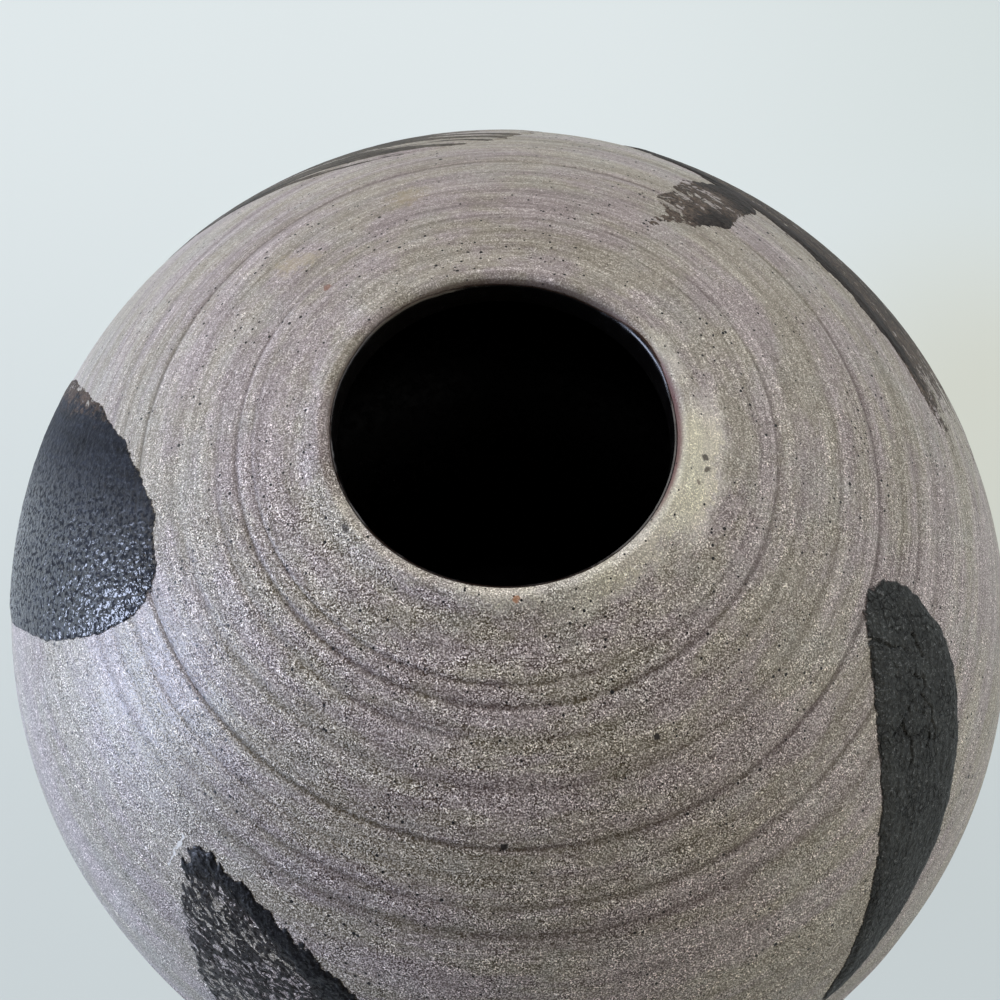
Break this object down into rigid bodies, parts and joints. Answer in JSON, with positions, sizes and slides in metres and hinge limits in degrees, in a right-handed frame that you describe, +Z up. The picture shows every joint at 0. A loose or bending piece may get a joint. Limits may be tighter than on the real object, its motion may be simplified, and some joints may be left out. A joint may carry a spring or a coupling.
{
  "type": "moon jar",
  "caption": "Round stoneware moon jar with a small beaded mouth, throwing rings on the shoulder, brushed dabs of dark slip, a dark liner glaze and a luted foot ring.",
  "frame": {"origin": "on the jar's axis, on the surface that the foot stands on", "axes": "+Z up through the mouth, -Y towards the picture's viewer, +X to the viewer's right"},
  "size_m": [0.3015, 0.3015, 0.2758],
  "materials": {
    "stoneware": "unglazed, gritty, satin in places",
    "dark_slip": "brushed iron slip, satin black to dry brown",
    "liner_glaze": "glossy black liner"
  },
  "bodies": {
    "root": {"foot_ring": "stoneware", "lower_bowl": "stoneware", "upper_bowl": "stoneware", "seam_slip": "stoneware", "seam_coil": "stoneware", "mouth_collar": "stoneware", "liner_glaze": "liner_glaze", "dab_left": "dark_slip", "dab_front": "dark_slip", "dab_right": "dark_slip", "dab_back_right": "dark_slip", "dab_back_left": "dark_slip"}
  },
  "joints": []
}
